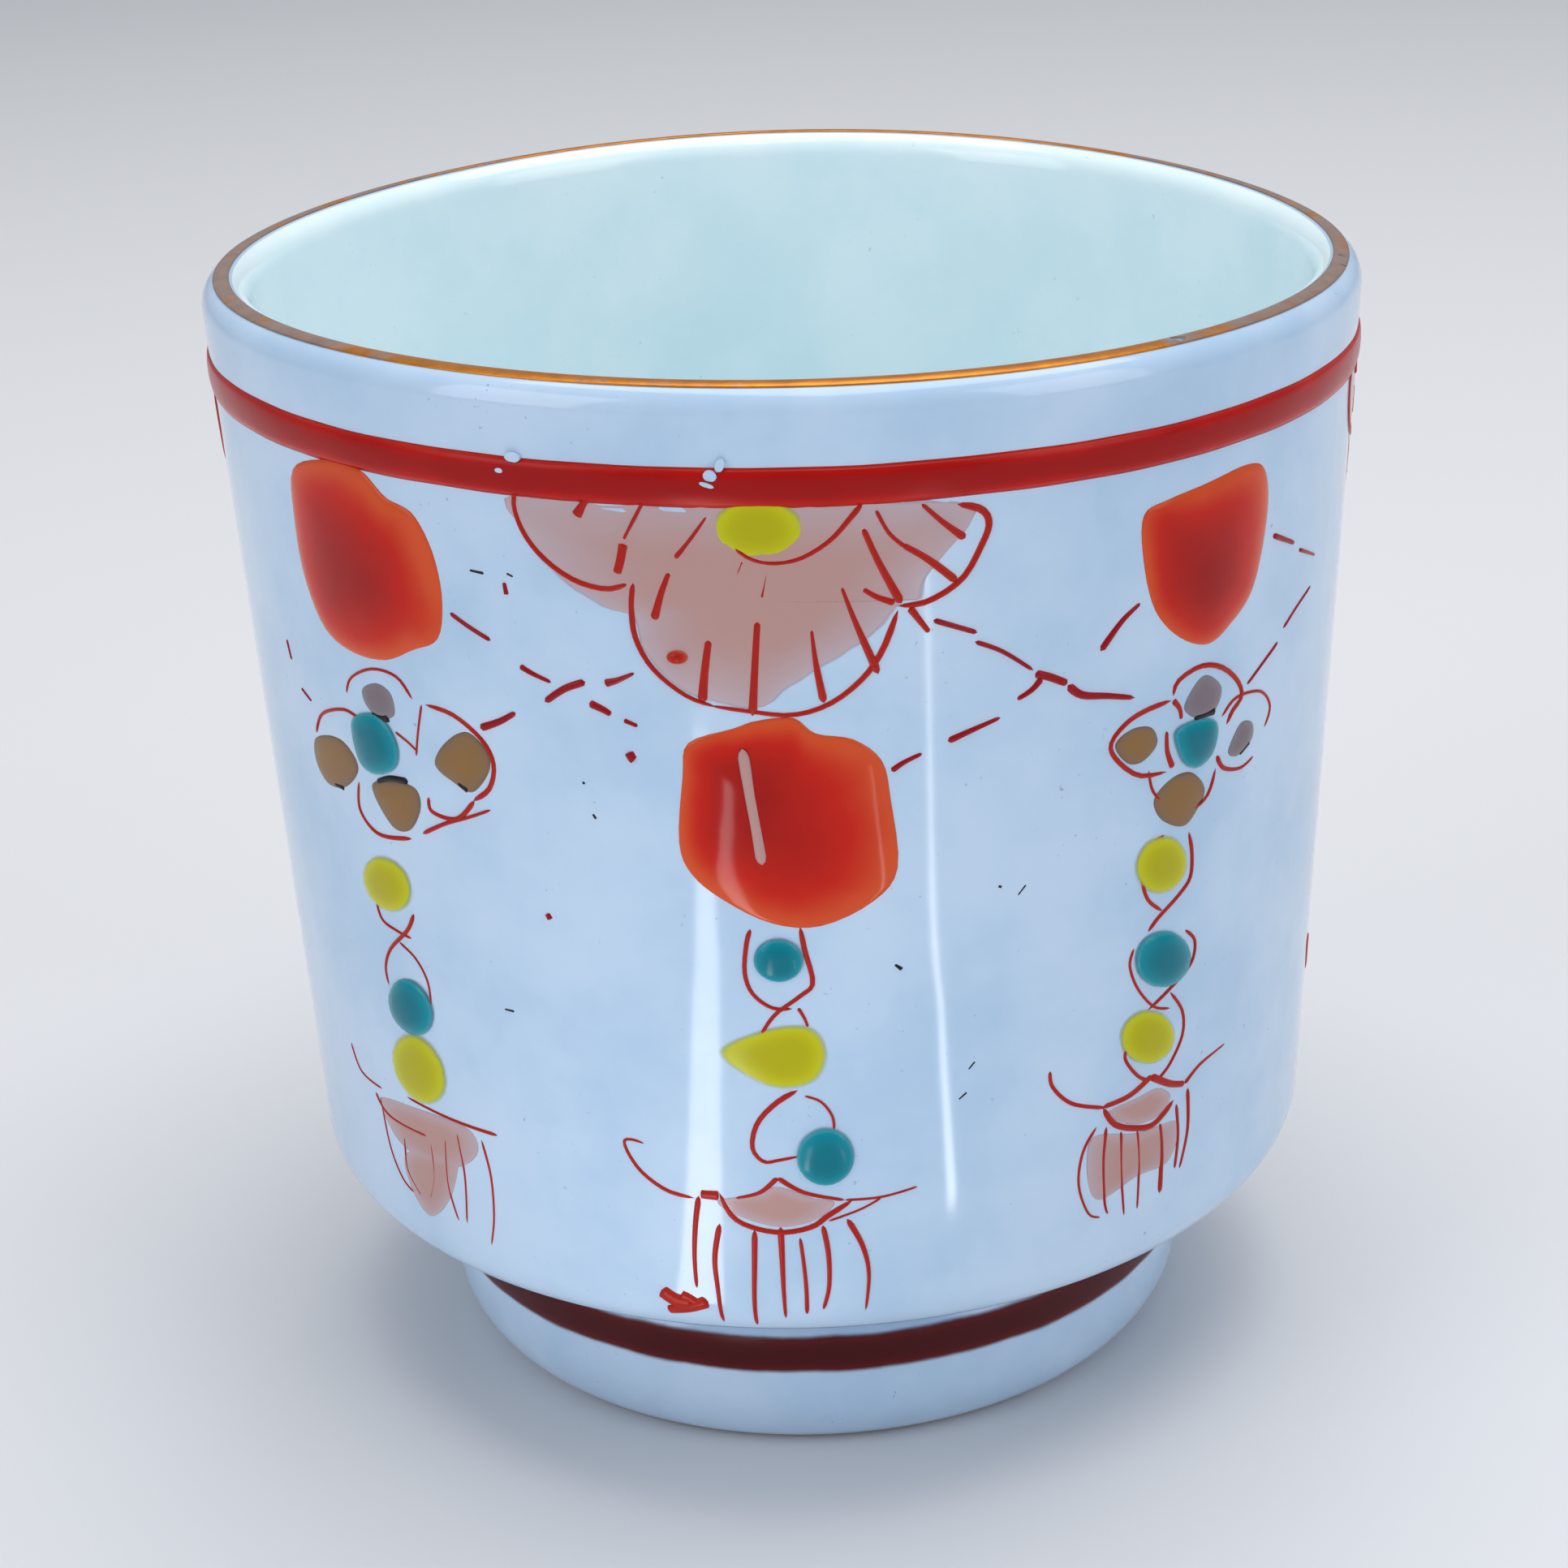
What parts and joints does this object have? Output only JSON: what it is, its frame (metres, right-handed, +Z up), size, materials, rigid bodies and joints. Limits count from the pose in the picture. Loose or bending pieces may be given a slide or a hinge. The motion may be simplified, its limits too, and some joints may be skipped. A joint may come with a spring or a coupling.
{
  "type": "sake cup",
  "caption": "Tall handleless porcelain sake cup on a turned foot ring, with red bands, a gilt lip and raised enamel garland pendants.",
  "frame": {"origin": "on the table at the centre of the foot ring", "axes": "+Z up along the cup's axis, -Y towards the front pendant"},
  "size_m": [0.054, 0.054, 0.0547],
  "materials": {
    "porcelain": "bluish white glazed porcelain, high gloss",
    "red_enamel": "raised translucent red overglaze enamel, gloss",
    "dark_red_enamel": "thin dark red overglaze band, satin",
    "gilding": "worn overglaze gilding, satin",
    "yellow_enamel": "raised yellow overglaze enamel, gloss",
    "turquoise_enamel": "raised turquoise overglaze enamel, gloss",
    "pink_wash": "thin pinkish overglaze wash, gloss",
    "brown_enamel": "thin brown overglaze wash, gloss"
  },
  "bodies": {
    "root": {"cup_body": "porcelain", "foot_ring": "porcelain", "lip_gilding": "gilding", "upper_band": "red_enamel", "lower_band": "dark_red_enamel", "wide_pendant_1_rosette": "pink_wash", "wide_pendant_1_jewel": "red_enamel", "wide_pendant_1_upper_bead": "turquoise_enamel", "wide_pendant_1_middle_bead": "yellow_enamel", "wide_pendant_1_lower_bead": "turquoise_enamel", "wide_pendant_1_tassel": "red_enamel", "narrow_pendant_2_jewel": "red_enamel", "narrow_pendant_2_flower": "brown_enamel", "narrow_pendant_2_upper_bead": "yellow_enamel", "narrow_pendant_2_middle_bead": "turquoise_enamel", "narrow_pendant_2_lower_bead": "yellow_enamel", "narrow_pendant_2_tassel": "red_enamel", "wide_pendant_3_rosette": "pink_wash", "wide_pendant_3_jewel": "red_enamel", "wide_pendant_3_upper_bead": "turquoise_enamel", "wide_pendant_3_middle_bead": "yellow_enamel", "wide_pendant_3_lower_bead": "turquoise_enamel", "wide_pendant_3_tassel": "red_enamel", "narrow_pendant_4_jewel": "red_enamel", "narrow_pendant_4_flower": "brown_enamel", "narrow_pendant_4_upper_bead": "yellow_enamel", "narrow_pendant_4_middle_bead": "turquoise_enamel", "narrow_pendant_4_lower_bead": "yellow_enamel", "narrow_pendant_4_tassel": "red_enamel", "wide_pendant_5_rosette": "pink_wash", "wide_pendant_5_jewel": "red_enamel", "wide_pendant_5_upper_bead": "turquoise_enamel", "wide_pendant_5_middle_bead": "yellow_enamel", "wide_pendant_5_lower_bead": "turquoise_enamel", "wide_pendant_5_tassel": "red_enamel", "narrow_pendant_6_jewel": "red_enamel", "narrow_pendant_6_flower": "brown_enamel", "narrow_pendant_6_upper_bead": "yellow_enamel", "narrow_pendant_6_middle_bead": "turquoise_enamel", "narrow_pendant_6_lower_bead": "yellow_enamel", "narrow_pendant_6_tassel": "red_enamel", "wide_pendant_7_rosette": "pink_wash", "wide_pendant_7_jewel": "red_enamel", "wide_pendant_7_upper_bead": "turquoise_enamel", "wide_pendant_7_middle_bead": "yellow_enamel", "wide_pendant_7_lower_bead": "turquoise_enamel", "wide_pendant_7_tassel": "red_enamel", "narrow_pendant_8_jewel": "red_enamel", "narrow_pendant_8_flower": "brown_enamel", "narrow_pendant_8_upper_bead": "yellow_enamel", "narrow_pendant_8_middle_bead": "turquoise_enamel", "narrow_pendant_8_lower_bead": "yellow_enamel", "narrow_pendant_8_tassel": "red_enamel"}
  },
  "joints": []
}
